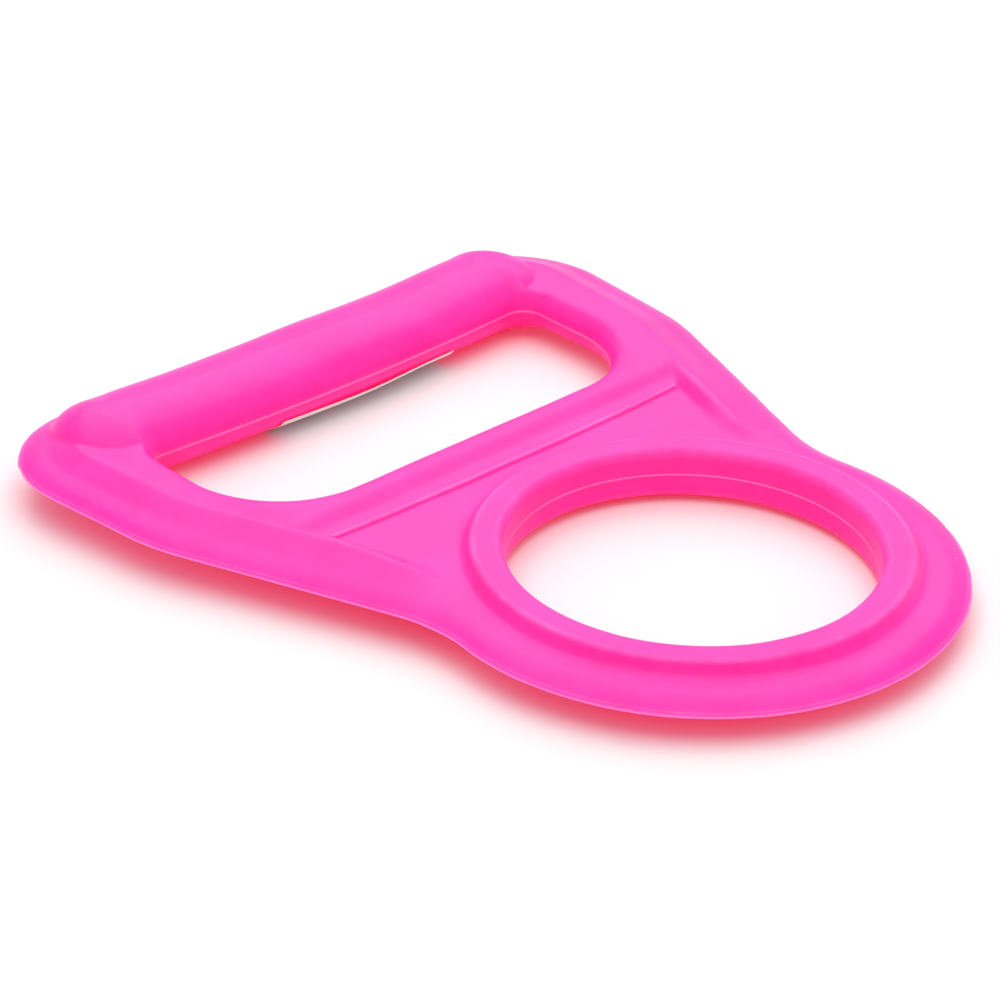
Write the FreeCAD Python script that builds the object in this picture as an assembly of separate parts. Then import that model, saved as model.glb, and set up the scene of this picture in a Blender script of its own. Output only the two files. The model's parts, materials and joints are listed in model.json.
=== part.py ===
"""Carrying handle for a large water-cooler bottle, millimetres.

A one-piece plastic moulding: a ring that drops over the bottle neck, a flared
frame with a finger window, and a fat crowned grip bar across the far end.  A
paper label is stuck to the underside of the grip.

Frame: the origin is the centre of the neck bore on the parting plane, +Z runs
up along the bore axis, +Y runs from the ring to the grip.  The moulding is the
same above and below the parting plane and left and right of the YZ plane.
"""
import FreeCAD
import Part
import math
import os

V = FreeCAD.Vector
UP = V(0, 0, 1)

# ---- neck ring -------------------------------------------------------------
BORE_R = 27.6           # slips over a 55 mm bottle neck
COLLAR_R = 32.9         # outside of the raised collar
COLLAR_H = 4.2          # half height of the collar
BORE_EDGE_R = 1.6       # rounding at both mouths of the bore
COLLAR_EDGE_R = 0.9     # rounding round the outside of the collar
COLLAR_FOOT_R = 33.9    # where the collar wall meets the web

# ---- outline on the parting plane --------------------------------------------
RING_R = 40.7           # outside of the ring
WAIST_R = 26.0          # hollow between ring and frame
FLANK_DEG = 20.6        # lean of the flanks away from +Y
FLANK_OFFSET = 32.55    # distance of each flank line from the bore axis
SIDE_DEG = 5.0          # lean of the upper sides
SIDE_OFFSET = 50.8      # distance of each upper side line from the bore axis
SHOULDER_R = 40.0       # bend between flank and upper side
CORNER_R = 18.0         # outer corners at the grip
TOP_Y = 97.4            # outer edge behind the grip

# ---- half heights above the parting plane --------------------------------------
WEB_H = 1.8             # flat web round the collar, and the recessed panel
# (inset, height) of the bevelled edge, then of the slope up to the arms' flat top
EDGE_STEPS = ((0.0, 0.12), (0.2, 0.32), (1.0, 0.72), (2.0, 1.2), (3.2, 1.58), (6.0, WEB_H))
ARM_STEPS = ((3.2, 1.5), (4.6, 1.95), (9.0, 3.5))
LIP_H = 3.5             # flat top of the arms and rounded lip round the window
ARM_RAMP_Y = (12.0, 36.0)   # the arms rise out of the ring between these
SHELF_H = 2.4           # narrow shelf between panel and window lip

# ---- recesses between the arms ---------------------------------------------------
RECESS_BOTTOM_Y = 0.0   # hidden inside the collar
RECESS_BOW = 0.8        # sag of each recess's top edge towards the ring
# inset from the flank and middle of the top edge: at the floor, then at LIP_H
PANEL_FOOT, PANEL_CREST = (11.9, 37.3), (9.3, 37.8)
SHELF_FOOT, SHELF_CREST = (11.5, 40.6), (9.9, 43.2)

# ---- finger window ---------------------------------------------------------------
WINDOW_X = 40.5
WINDOW_Y0 = 47.8
WINDOW_Y1 = 77.2
WINDOW_BOW = 1.4        # the grip side bulges into the window by this much
WINDOW_R0 = 16.0        # corners next to the ring
WINDOW_R1 = 3.5         # corners next to the grip
WINDOW_EDGE_R = 3.1     # half-round of the lip

# ---- grip crown ---------------------------------------------------------------------
CROWN_Y = 85.0          # centre line at the middle of the bar
CROWN_BOW = 1.2         # the centre line bends back this much at the ends
CROWN_HALF_W = 8.8
CROWN_H = 6.2
CROWN_END_X = 39.6      # centres of the rounded ends

# ---- label --------------------------------------------------------------------------
LABEL_T = 0.12
LABEL_X = (-13.0, 24.0)
LABEL_Y = (77.4, 92.0)

BIG = 300.0


def polar(radius, degrees):
    a = math.radians(degrees)
    return V(radius * math.cos(a), radius * math.sin(a), 0)


def mirrored(p):
    return V(-p.x, p.y, p.z)


def lifted(p, z):
    return V(p.x, p.y, z)


def arc_between(centre, a, b, radius):
    """Short arc from a to b about centre."""
    mid = (a + b) * 0.5 - centre
    mid.normalize()
    return Part.Arc(a, centre + mid * radius, b).toShape()


def outline(inset, z):
    """Closed wire parallel to the outline, moved inwards by inset, at height z."""
    flank = V(math.cos(math.radians(FLANK_DEG)), -math.sin(math.radians(FLANK_DEG)), 0)
    side = V(math.cos(math.radians(SIDE_DEG)), -math.sin(math.radians(SIDE_DEG)), 0)
    ratio = (FLANK_OFFSET + WAIST_R) / (RING_R + WAIST_R)
    waist_deg = math.degrees(math.acos(ratio)) - FLANK_DEG
    waist_c = polar(RING_R + WAIST_R, waist_deg)
    ring_end = polar(RING_R - inset, waist_deg)
    flank_start = waist_c - flank * (WAIST_R + inset)

    # centre of the shoulder bend lies SHOULDER_R inside both lines
    det = flank.x * side.y - flank.y * side.x
    c1 = FLANK_OFFSET - SHOULDER_R
    c2 = SIDE_OFFSET - SHOULDER_R
    bend_c = V((c1 * side.y - c2 * flank.y) / det, (c2 * flank.x - c1 * side.x) / det, 0)
    flank_end = bend_c + flank * (SHOULDER_R - inset)
    side_start = bend_c + side * (SHOULDER_R - inset)

    corner_y = TOP_Y - CORNER_R
    corner_c = V((SIDE_OFFSET - CORNER_R - side.y * corner_y) / side.x, corner_y, 0)
    side_end = corner_c + side * (CORNER_R - inset)
    top_end = corner_c + V(0, CORNER_R - inset, 0)

    right = [ring_end, flank_start, flank_end, side_start, side_end, top_end]
    left = [mirrored(p) for p in right]
    ring_foot = V(0, inset - RING_R, 0)
    r = [lifted(p, z) for p in right]
    k = [lifted(p, z) for p in left]
    wc = lifted(waist_c, z)
    bc = lifted(bend_c, z)
    cc = lifted(corner_c, z)
    edges = [
        Part.Arc(k[0], lifted(ring_foot, z), r[0]).toShape(),
        arc_between(wc, r[0], r[1], WAIST_R + inset),
        Part.makeLine(r[1], r[2]),
        arc_between(bc, r[2], r[3], SHOULDER_R - inset),
        Part.makeLine(r[3], r[4]),
        arc_between(cc, r[4], r[5], CORNER_R - inset),
        Part.makeLine(r[5], k[5]),
        arc_between(mirrored(cc), k[5], k[4], CORNER_R - inset),
        Part.makeLine(k[4], k[3]),
        arc_between(mirrored(bc), k[3], k[2], SHOULDER_R - inset),
        Part.makeLine(k[2], k[1]),
        arc_between(mirrored(wc), k[1], k[0], WAIST_R + inset),
    ]
    return Part.Wire(edges)


def stack(steps, base=0.0):
    """Solid from the plane z = base through parallel outlines at (inset, height) steps."""
    first = steps[0]
    wires = [outline(first[0], base)] + [outline(d, z) for d, z in steps]
    return Part.makeLoft(wires, True, True)


def slab(x0, x1, y0, y1, z0, z1):
    return Part.makeBox(x1 - x0, y1 - y0, z1 - z0, V(x0, y0, z0))


def under_ramp(y0, z0, y1, z1):
    """Everything below a surface that is z0 high up to y0 and z1 high beyond y1."""
    profile = [V(0, -BIG, -BIG), V(0, -BIG, z0), V(0, y0, z0),
               V(0, y1, z1), V(0, BIG, z1), V(0, BIG, -BIG)]
    wire = Part.makePolygon(profile + profile[:1])
    solid = Part.Face(wire).extrude(V(2 * BIG, 0, 0))
    solid.translate(V(-BIG, 0, 0))
    return solid


def collar():
    """Upright ring with rounded edges, both halves in one turned profile."""
    r0, r1, foot = BORE_R, COLLAR_R, COLLAR_FOOT_R
    e0, e1, h = BORE_EDGE_R, COLLAR_EDGE_R, COLLAR_H
    k = math.sqrt(0.5)
    edges = []
    for s in (1.0, -1.0):
        inner = [V(r0, 0, s * (h - e0)), V(r0 + e0 * (1 - k), 0, s * (h - e0 * (1 - k))),
                 V(r0 + e0, 0, s * h)]
        outer = [V(r1 - e1, 0, s * h), V(r1 - e1 * (1 - k), 0, s * (h - e1 * (1 - k))),
                 V(r1, 0, s * (h - e1))]
        edges.append(Part.Arc(*inner).toShape())
        edges.append(Part.makeLine(inner[2], outer[0]))
        edges.append(Part.Arc(*outer).toShape())
        edges.append(Part.makeLine(outer[2], V(foot, 0, s * WEB_H)))
    edges.append(Part.makeLine(V(r0, 0, h - e0), V(r0, 0, e0 - h)))
    edges.append(Part.makeLine(V(foot, 0, WEB_H), V(foot, 0, -WEB_H)))
    wire = Part.Wire(Part.__sortEdges__(edges))
    return Part.Face(wire).revolve(V(0, 0, 0), UP, 360)


def recess(foot, crest, floor):
    """Cutter for a shallow recess between the arms, with sloping sides and a bowed top edge."""
    lean = math.radians(FLANK_DEG)

    def ring(inset, top, z):
        def side_x(y):
            return (FLANK_OFFSET - inset + math.sin(lean) * y) / math.cos(lean)
        corner = top + RECESS_BOW
        right = V(side_x(corner), corner, z)
        low = V(side_x(RECESS_BOTTOM_Y), RECESS_BOTTOM_Y, z)
        return Part.Wire([
            Part.Arc(right, V(0, top, z), mirrored(right)).toShape(),
            Part.makeLine(mirrored(right), mirrored(low)),
            Part.makeLine(mirrored(low), low),
            Part.makeLine(low, right),
        ])

    return Part.makeLoft([ring(*foot, floor), ring(*crest, LIP_H),
                          ring(*crest, LIP_H + 1.0)], True, True)


def window_wire(z):
    """Finger window: large corners towards the ring, small ones at the bowed grip."""
    x = WINDOW_X
    r0, r1 = WINDOW_R0, WINDOW_R1
    reach = x - r1
    bow_r = (reach ** 2 + WINDOW_BOW ** 2) / (2 * WINDOW_BOW)
    bow_c = V(0, WINDOW_Y1 - WINDOW_BOW + bow_r, z)
    top_c = V(reach, bow_c.y - math.sqrt((bow_r + r1) ** 2 - reach ** 2), z)
    lean = (bow_c - top_c)
    lean.normalize()
    low_c = V(x - r0, WINDOW_Y0 + r0, z)
    low_a = V(x - r0, WINDOW_Y0, z)
    low_b = V(x, WINDOW_Y0 + r0, z)
    top_a = V(x, top_c.y, z)
    top_b = top_c + lean * r1
    return Part.Wire([
        Part.makeLine(mirrored(low_a), low_a),
        arc_between(low_c, low_a, low_b, r0),
        Part.makeLine(low_b, top_a),
        arc_between(top_c, top_a, top_b, r1),
        Part.Arc(top_b, V(0, WINDOW_Y1 - WINDOW_BOW, z), mirrored(top_b)).toShape(),
        arc_between(mirrored(top_c), mirrored(top_b), mirrored(top_a), r1),
        Part.makeLine(mirrored(top_a), mirrored(low_b)),
        arc_between(mirrored(low_c), mirrored(low_b), mirrored(low_a), r0),
    ])


def bowed_bar(half_w, half_h):
    """Elliptical bar that follows the grip's gently bowed centre line."""
    radius = (CROWN_END_X ** 2 + CROWN_BOW ** 2) / (2 * CROWN_BOW)
    sweep = math.degrees(math.asin(CROWN_END_X / radius))
    pivot = V(0, CROWN_Y + radius, 0)
    ellipse = Part.Ellipse(V(0, CROWN_Y + half_w, 0), V(0, CROWN_Y, half_h), V(0, CROWN_Y, 0))
    face = Part.Face(Part.Wire([ellipse.toShape()]))
    face.rotate(pivot, UP, -sweep)
    return face.revolve(pivot, UP, 2 * sweep)


def crown_end():
    """Flattened ball that rounds off the grip's +X end."""
    c = V(CROWN_END_X, CROWN_Y + CROWN_BOW, 0)
    a, b = CROWN_HALF_W, CROWN_H
    ellipse = Part.Ellipse(c + V(a, 0, 0), c + V(0, 0, b), c)
    arc = Part.Arc(ellipse, -math.pi / 2, math.pi / 2).toShape()
    axis = Part.makeLine(c + V(0, 0, b), c + V(0, 0, -b))
    return Part.Face(Part.Wire([arc, axis])).revolve(c, UP, 360)


def frame_half():
    """Upper half of the web, the arms, the shelf and the panel."""
    arms = stack(ARM_STEPS).common(under_ramp(ARM_RAMP_Y[0], WEB_H, ARM_RAMP_Y[1], LIP_H + 0.1))
    half = stack(EDGE_STEPS).fuse(arms)
    half = half.cut(recess(SHELF_FOOT, SHELF_CREST, SHELF_H))
    return half.cut(recess(PANEL_FOOT, PANEL_CREST, WEB_H)).removeSplitter()


def grip_crown():
    bar = bowed_bar(CROWN_HALF_W, CROWN_H)
    right = crown_end()
    left = right.mirror(V(0, 0, 0), V(1, 0, 0))
    return bar.fuse([right, left])


def window_mouth(shape, z):
    """Edges of the window's rim in the plane z."""
    found = []
    for e in shape.Edges:
        b = e.BoundBox
        inside = abs(b.XMin) < WINDOW_X + 0.01 and abs(b.XMax) < WINDOW_X + 0.01
        along = b.YMin > WINDOW_Y0 - 0.01 and b.YMax < WINDOW_Y1 + 1.0
        if inside and along and abs(b.ZMin - z) < 1e-4 and abs(b.ZMax - z) < 1e-4:
            found.append(e)
    return found


def handle_moulding():
    half = frame_half()
    window = Part.Face(window_wire(-1.0)).extrude(V(0, 0, LIP_H + 2.0))
    half = half.cut(window)
    half = half.makeFillet(WINDOW_EDGE_R, window_mouth(half, LIP_H))
    lower = half.mirror(V(0, 0, 0), UP)
    body = half.fuse(lower)
    body = body.fuse([collar(), grip_crown()])
    bore = Part.makeCylinder(BORE_R, 4 * COLLAR_H, V(0, 0, -2 * COLLAR_H))
    return body.cut(bore).removeSplitter()


def grip_label():
    """Paper label wrapped round the belly of the grip."""
    skin = bowed_bar(CROWN_HALF_W + LABEL_T, CROWN_H + LABEL_T)
    skin = skin.cut(bowed_bar(CROWN_HALF_W, CROWN_H))
    window = slab(LABEL_X[0], LABEL_X[1], LABEL_Y[0], LABEL_Y[1], -2 * CROWN_H, 0)
    return skin.common(window)


def single_solid(shape):
    solids = shape.Solids
    if len(solids) != 1:
        raise RuntimeError("expected one solid, found %d" % len(solids))
    solid = solids[0]
    if not solid.isValid():
        raise RuntimeError("solid is not valid")
    return solid


os.makedirs("parts", exist_ok=True)
NODES = {
    "handle_moulding": handle_moulding,
    "grip_label": grip_label,
}
for name, build in NODES.items():
    solid = single_solid(build())
    solid.exportStep("parts/%s.step" % name)
    box = solid.BoundBox
    print("%-16s %9.1f mm3   x %.2f %.2f   y %.2f %.2f   z %.2f %.2f" % (
        name, solid.Volume, box.XMin, box.XMax, box.YMin, box.YMax, box.ZMin, box.ZMax))
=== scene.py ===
# %% [markdown]
# # A carrying handle for a large water bottle
# The real thing is one piece of bright pink, slightly see-through plastic.  A ring drops over
# the neck of the bottle, a flat frame flares out from it, and a fat rounded grip bar closes
# the frame.  A small paper sticker is wrapped round the underside of the grip.  The two halves
# of the mould meet on the plane z = 0, so everything above it is repeated below it.
#
# First the imported model comes in.  Its box gives the main sizes, and the parts that the
# finished surfaces replace are hidden.

# %% The frame that everything is built in
import json
import math
import bmesh
import bpy
import numpy as np
from mathutils import Matrix, Vector


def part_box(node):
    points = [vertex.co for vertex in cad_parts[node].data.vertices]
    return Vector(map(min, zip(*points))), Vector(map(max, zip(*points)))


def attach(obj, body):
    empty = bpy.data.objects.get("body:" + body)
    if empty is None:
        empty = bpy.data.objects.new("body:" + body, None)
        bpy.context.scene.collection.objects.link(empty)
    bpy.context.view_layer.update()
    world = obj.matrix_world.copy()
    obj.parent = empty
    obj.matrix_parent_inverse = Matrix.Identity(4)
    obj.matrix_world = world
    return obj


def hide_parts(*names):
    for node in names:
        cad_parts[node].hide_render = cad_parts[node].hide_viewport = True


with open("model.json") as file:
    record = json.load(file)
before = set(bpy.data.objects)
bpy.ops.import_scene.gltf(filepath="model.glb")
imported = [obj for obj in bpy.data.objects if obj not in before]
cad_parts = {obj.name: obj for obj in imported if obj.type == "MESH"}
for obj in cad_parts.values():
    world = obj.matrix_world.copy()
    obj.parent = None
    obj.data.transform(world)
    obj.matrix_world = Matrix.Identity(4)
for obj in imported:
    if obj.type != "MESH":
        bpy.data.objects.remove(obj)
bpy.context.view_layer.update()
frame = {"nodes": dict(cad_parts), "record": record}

MM = 0.001
print("nodes:", sorted(frame["nodes"]))

# %% [markdown]
# ## Reading the sizes back
# The box of the moulding gives the end of the ring, the outer edge behind the grip and the
# height of the grip.  The mount for the bottle neck gives the bore.  All the drawing below is
# in millimetres, and only the finished vertices are turned into metres.

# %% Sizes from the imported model
node_low, node_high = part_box("handle_moulding")
neck = next(m for m in frame["record"]["mounts"] if m["name"] == "neck_bore")
RING_R = -node_low.y / MM
TOP_Y = node_high.y / MM
CROWN_H = node_high.z / MM
BORE_R = neck["dims"]["r_mm"]
print(f"ring {RING_R:.2f}  top {TOP_Y:.2f}  bore {BORE_R:.2f}  grip height {CROWN_H:.2f}")

# %% [markdown]
# ## The outline as a chain of lines and arcs
# Moulds are cut along lines and arcs that meet without a corner, so the outline is drawn the
# same way: ring, waist, straight flank, shoulder bend, straight side, corner and top edge.
# Only the +X half is drawn; the other half is its mirror image.  Each part of the chain knows
# two things: how to place points along itself, and how far any point lies from it.

# %% Lines and arcs
BESIDE_NONE = 1e3  # the distance given to a point that lies beside no part of a chain


def unit(degrees):
    """Direction at an angle from +X, counter-clockwise."""
    a = math.radians(degrees)
    return np.array([math.cos(a), math.sin(a)])


def arc(centre, radius, start, end):
    """An arc from one angle to another, in degrees; it may run either way."""
    return {"c": np.asarray(centre, float), "r": radius, "a": math.radians(start),
            "b": math.radians(end), "length": radius * abs(math.radians(end - start))}


def line(p, q):
    """A straight run from p to q."""
    p, q = np.asarray(p, float), np.asarray(q, float)
    return {"p": p, "q": q, "length": float(np.hypot(*(q - p)))}


def along(chain, s):
    """Points and unit tangents at arc lengths s: centre + radius (cos a, sin a) on an arc,
    p + t (q - p) on a line."""
    points, tangents = np.zeros((len(s), 2)), np.zeros((len(s), 2))
    start = 0.0
    for k, part in enumerate(chain):
        last = k == len(chain) - 1
        here = (s >= start - 1e-9) & ((s < start + part["length"] - 1e-9) | last)
        t = (s[here] - start) / part["length"]
        if "c" in part:
            a = part["a"] + t * (part["b"] - part["a"])
            turn = math.copysign(1.0, part["b"] - part["a"])
            points[here] = part["c"] + part["r"] * np.stack([np.cos(a), np.sin(a)], 1)
            tangents[here] = turn * np.stack([-np.sin(a), np.cos(a)], 1)
        else:
            d = part["q"] - part["p"]
            points[here] = part["p"] + t[:, None] * d
            tangents[here] = d / part["length"]
        start += part["length"]
    return points, tangents


def gap(chain, x, y):
    """Distance from (x, y) to the chain: |distance to centre - radius| beside an arc, the
    height above the line beside a line, and the least of these over the chain."""
    best = np.full(x.shape, BESIDE_NONE)
    for part in chain:
        if "c" in part:
            dx, dy = x - part["c"][0], y - part["c"][1]
            low, high = sorted((part["a"], part["b"]))
            turn = np.mod(np.arctan2(dy, dx) - low + 1e-7, 2 * math.pi)
            beside = turn <= high - low + 2e-7
            d = np.abs(np.hypot(dx, dy) - part["r"])
        else:
            e = (part["q"] - part["p"]) / part["length"]
            dx, dy = x - part["p"][0], y - part["p"][1]
            t = dx * e[0] + dy * e[1]
            beside = (t >= -1e-7) & (t <= part["length"] + 1e-7)
            d = np.abs(dx * e[1] - dy * e[0])
        best = np.where(beside, np.minimum(best, d), best)
    return best


def total(chain):
    """Length of a chain."""
    return sum(part["length"] for part in chain)


quarter = arc((0, 0), RING_R, 0, 90)
print(f"a quarter of the ring is {quarter['length']:.1f} mm long")

# %% [markdown]
# ## Ring, waist, shoulder and corner
# The outline widens from the ring to the grip so that a whole hand fits beside the neck of the
# bottle.  A hollow waist joins the round ring to the straight flank without a notch where the
# pull of a full bottle would start a crack.  Each centre follows from its neighbours: two arcs
# that touch have their centres one sum of radii apart, and an arc between two straight runs
# has its centre at its radius from both.

# %% The outline of the moulding
WAIST_R, SHOULDER_R, CORNER_R = 26.0, 40.0, 18.0
FLANK_DEG, SIDE_DEG = 20.6, 5.0
FLANK_OFFSET, SIDE_OFFSET = 32.55, 50.8

waist_deg = math.degrees(math.acos((FLANK_OFFSET + WAIST_R) / (RING_R + WAIST_R))) - FLANK_DEG
waist_c = (RING_R + WAIST_R) * unit(waist_deg)
flank, side = unit(-FLANK_DEG), unit(-SIDE_DEG)
bend_c = np.linalg.solve(np.array([flank, side]),
                         [FLANK_OFFSET - SHOULDER_R, SIDE_OFFSET - SHOULDER_R])
corner_y = TOP_Y - CORNER_R
corner_c = np.array([(SIDE_OFFSET - CORNER_R - side[1] * corner_y) / side[0], corner_y])

OUTLINE = [
    arc((0, 0), RING_R, -90, waist_deg),
    arc(waist_c, WAIST_R, waist_deg + 180, 180 - FLANK_DEG),
    line(waist_c - flank * WAIST_R, bend_c + flank * SHOULDER_R),
    arc(bend_c, SHOULDER_R, -FLANK_DEG, -SIDE_DEG),
    line(bend_c + side * SHOULDER_R, corner_c + side * CORNER_R),
    arc(corner_c, CORNER_R, -SIDE_DEG, 90),
    line(corner_c + (0, CORNER_R), (0, TOP_Y)),
]
print(f"outline, half way round: {total(OUTLINE):.1f} mm")

# %% [markdown]
# ## The opening for the fingers
# Four fingers pass through a window some 80 mm wide.  Its corners beside the cross bar are
# large, to spread the load from the arms, and those beside the grip are small, so that the
# fingers have the whole length of the bar.  The side under the grip bows gently into the
# window, as the bar does, which fits a closed hand.

# %% The finger window
WINDOW_X, WINDOW_Y0, WINDOW_Y1 = 40.5, 47.8, 77.2
WINDOW_BOW, WINDOW_R0, WINDOW_R1 = 1.4, 16.0, 3.5

reach = WINDOW_X - WINDOW_R1
bow_r = (reach ** 2 + WINDOW_BOW ** 2) / (2 * WINDOW_BOW)
bow_c = np.array([0.0, WINDOW_Y1 - WINDOW_BOW + bow_r])
high_c = np.array([reach, bow_c[1] - math.sqrt((bow_r + WINDOW_R1) ** 2 - reach ** 2)])
bow_deg = math.degrees(math.atan2(bow_c[1] - high_c[1], bow_c[0] - high_c[0]))

WINDOW = [
    line((0, WINDOW_Y0), (WINDOW_X - WINDOW_R0, WINDOW_Y0)),
    arc((WINDOW_X - WINDOW_R0, WINDOW_Y0 + WINDOW_R0), WINDOW_R0, -90, 0),
    line((WINDOW_X, WINDOW_Y0 + WINDOW_R0), (WINDOW_X, high_c[1])),
    arc(high_c, WINDOW_R1, 0, bow_deg),
    arc(bow_c, bow_r, bow_deg - 180, -90),
]
print(f"window, half way round: {total(WINDOW):.1f} mm")

# %% [markdown]
# ## Heights above the parting plane
# Seen from above, the whole upper face is one height for each point, apart from the upright
# walls.  Each feature is a cross-section drawn as a few straight runs, then rounded by
# averaging over a short distance, as a cutter of that size would leave it.  Features are put
# together with a larger-of-two whose seam is rounded, which is what a fillet does.

# %% Rounded cross-sections and blends
SECTION_FROM, SECTION_TO, SECTION_STEP = -3.0, 24.0, 0.02


def section(corners, rounding):
    """A cross-section through (distance, height) corners, each height replaced by the mean
    over a window of the given width, twice, so that the corners become soft curves."""
    d = np.arange(SECTION_FROM, SECTION_TO, SECTION_STEP)
    h = np.interp(d, *np.array(corners, float).T)
    n = max(1, int(rounding / SECTION_STEP / 2)) * 2 + 1
    for _ in range(2):
        h = np.convolve(np.pad(h, n // 2, mode="edge"), np.full(n, 1 / n), mode="valid")
    return lambda x: np.interp(x, d, h)


def ease(t):
    """Smooth step from 0 to 1: 3 t^2 - 2 t^3 between the ends."""
    t = np.clip(t, 0.0, 1.0)
    return t * t * (3 - 2 * t)


def mix(a, b, t):
    """Straight blend from a at t = 0 to b at t = 1."""
    return a + (b - a) * t


def larger(a, b, k):
    """The larger of two heights, with the seam rounded where they differ by less than k:
    b + t (a - b) + k t (1 - t), with t going from 0 to 1 as a - b goes from -k to k."""
    t = np.clip(0.5 + 0.5 * (a - b) / k, 0.0, 1.0)
    return mix(b, a, t) + k * t * (1 - t)


print(f"two faces 1 mm high, joined over 1 mm, meet {larger(1.0, 1.0, 1.0):.2f} mm high")

# %% [markdown]
# ## Ring, arms and cross bar
# All round the outside the edge is bevelled from the thin parting edge up to a flat web.
# Along the arms the bevel goes on up as a gentle slope to a low ridge, and from there the top
# falls very slightly to the rounded lip of the window.  Between the ring and the window lies
# a shallow panel with sloping sides; a crisp step along its far edge leads to a narrow shelf,
# and from there a soft slope rises to the window's lip.  Thin floors between thick edges are
# how such a part is made stiff with little plastic.

# %% Heights of the frame
WEB_H, SHELF_H, LIP_H, RIDGE_H = 1.8, 2.35, 3.5, 3.65
PANEL_TOP_Y, PANEL_BOW, PANEL_STEP = 37.05, 0.65, 0.5
WALL_FOOT, WALL_CREST_LOW, WALL_CREST_HIGH = 11.9, 7.9, 9.6
BAR_FOOT_Y, BAR_LIP_Y = 40.4, 43.6
LIP_R = 3.3
RISE_Y, RISE_RUN, RISE_R, RISE_R_RUN = 7.0, 31.0, 36.5, 5.0
CREST_Y, CREST_RUN = 18.0, 18.0
WALL_SEAM, WALL_ROUND = 0.35, 0.3
PANEL_HALF = 34.0

EDGE = [(0, 0.1), (0.2, 0.32), (1.0, 0.72), (2.0, 1.2), (3.2, 1.58)]
ring_rim = section(EDGE + [(4.4, 1.72), (6.0, WEB_H), (24, WEB_H)], 0.9)
arm_rim = section(EDGE + [(4.6, 1.95), (8.8, RIDGE_H), (13.5, LIP_H - 0.1), (24, LIP_H - 0.1)], 0.8)


def panel_top(x):
    """Foot of the panel's top step: an arc that sags by PANEL_BOW at the middle."""
    return PANEL_TOP_Y + PANEL_BOW * (x / PANEL_HALF) ** 2


print(f"panel, from the bore's axis: {panel_top(0.0):.2f} mm at the middle of its far edge, "
      f"{panel_top(PANEL_HALF):.2f} mm at the corner")


def frame_height(x, y, inset):
    """Half height of the frame without collar and grip: the floor between the arms (panel,
    step, shelf), mixed with the height of the rim by how far up the wall round it the point
    lies.  The ring's low rim turns into the arms' high one as y grows, outside the collar."""
    rise = ease((y - RISE_Y) / RISE_RUN) * ease((np.hypot(x, y) - RISE_R) / RISE_R_RUN)
    outer = mix(ring_rim(inset), arm_rim(inset), rise)
    floor_h = mix(WEB_H, SHELF_H, ease((y - panel_top(x)) / PANEL_STEP))
    crest = mix(WALL_CREST_LOW, WALL_CREST_HIGH, np.clip((y - CREST_Y) / CREST_RUN, 0, 1))
    arm_wall = (WALL_FOOT - inset) / (WALL_FOOT - crest)
    bar_wall = (y - BAR_FOOT_Y) / (BAR_LIP_Y - BAR_FOOT_Y)
    wall = np.clip(larger(arm_wall, bar_wall, WALL_SEAM), 0.0, 1.0)
    return mix(floor_h, outer, mix(ease(wall), 1 - (1 - wall) ** 2, WALL_ROUND))

# %% [markdown]
# ## Collar and grip
# The collar is round, as if turned: its rise above the web depends only on the distance from
# the bore's axis, and its foot runs out into the web in a short soft curve.  The grip is a fat
# bar whose line bends slightly, with rounded ends that flow into the arms.  Its middle lies a
# little lower than its ends in two long shallow places, because thick plastic sinks as it
# cools.  A bar that is wider than high, with no edge on it, is what a loaded hand can bear.

# %% Heights of the collar and of the grip
COLLAR_H, COLLAR_FOOT_R, BORE_EDGE_R = 4.2, 35.4, 1.6
CROWN_Y, CROWN_BOW, CROWN_END_X, CROWN_END_W = 85.0, 1.2, 38.8, 8.8
END_LENGTH_LEFT, END_LENGTH_RIGHT, END_SQUARE = 9.5, 8.3, 2.3
BAR_DROP, END_DROP = 0.30, 0.35
END_FROM = 34.0
DOME_IN, DOME_OUT = 2.2, 2.05
SINKS = ((0.5, 19.0, 11.0), (0.2, -17.0, 12.0))
GROOVE_DEPTH, GROOVE_AT, GROOVE_HALF = 0.13, 0.22, 0.13
SKIRT_SLOPE, FAR_ABOVE = 30.0, 20.0
SEAM, END_SEAM, END_SEAM_RUN = 0.45, 4.0, 8.0

collar_rise = section([(-3, COLLAR_H - WEB_H), (31.9 - BORE_R, COLLAR_H - WEB_H),
                       (32.5 - BORE_R, 2.15), (32.95 - BORE_R, 1.5), (33.4 - BORE_R, 0.75),
                       (33.9 - BORE_R, 0.33), (34.8 - BORE_R, 0.1), (36.2 - BORE_R, 0.0),
                       (24, 0.0)], 0.4)


def grip_line(x):
    """Middle of the bar: bends back by CROWN_BOW at the ends."""
    return CROWN_Y + CROWN_BOW * np.minimum(np.abs(x) / CROWN_END_X, 1.0) ** 2


def grip_edge(x):
    """Edge of the grip over the window: the lower side of the bow circle."""
    x = np.minimum(np.abs(x), reach)
    return bow_c[1] - np.sqrt(bow_r ** 2 - x ** 2)


def grip_width(x):
    """Half width: from the bar's line to the window, easing to CROWN_END_W at the ends."""
    return mix(grip_line(x) - grip_edge(x), CROWN_END_W, ease((np.abs(x) - END_FROM) / 6.3))


def grip_peak(x):
    """Crest height: a little under the highest point, less two bell-shaped sinks."""
    hollow = sum(depth * np.exp(-((x - at) / half) ** 2) for depth, at, half in SINKS)
    return CROWN_H - BAR_DROP - hollow + (BAR_DROP - END_DROP) * ease((np.abs(x) - 31.0) / 8.0)


def dome(q):
    """Section of the bar: (1 - q^2.2)^(1/2.05), a little flatter on top than an ellipse."""
    return np.power(np.maximum(1 - np.power(np.clip(q, 0, 1), DOME_IN), 0.0), 1 / DOME_OUT)


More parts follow.
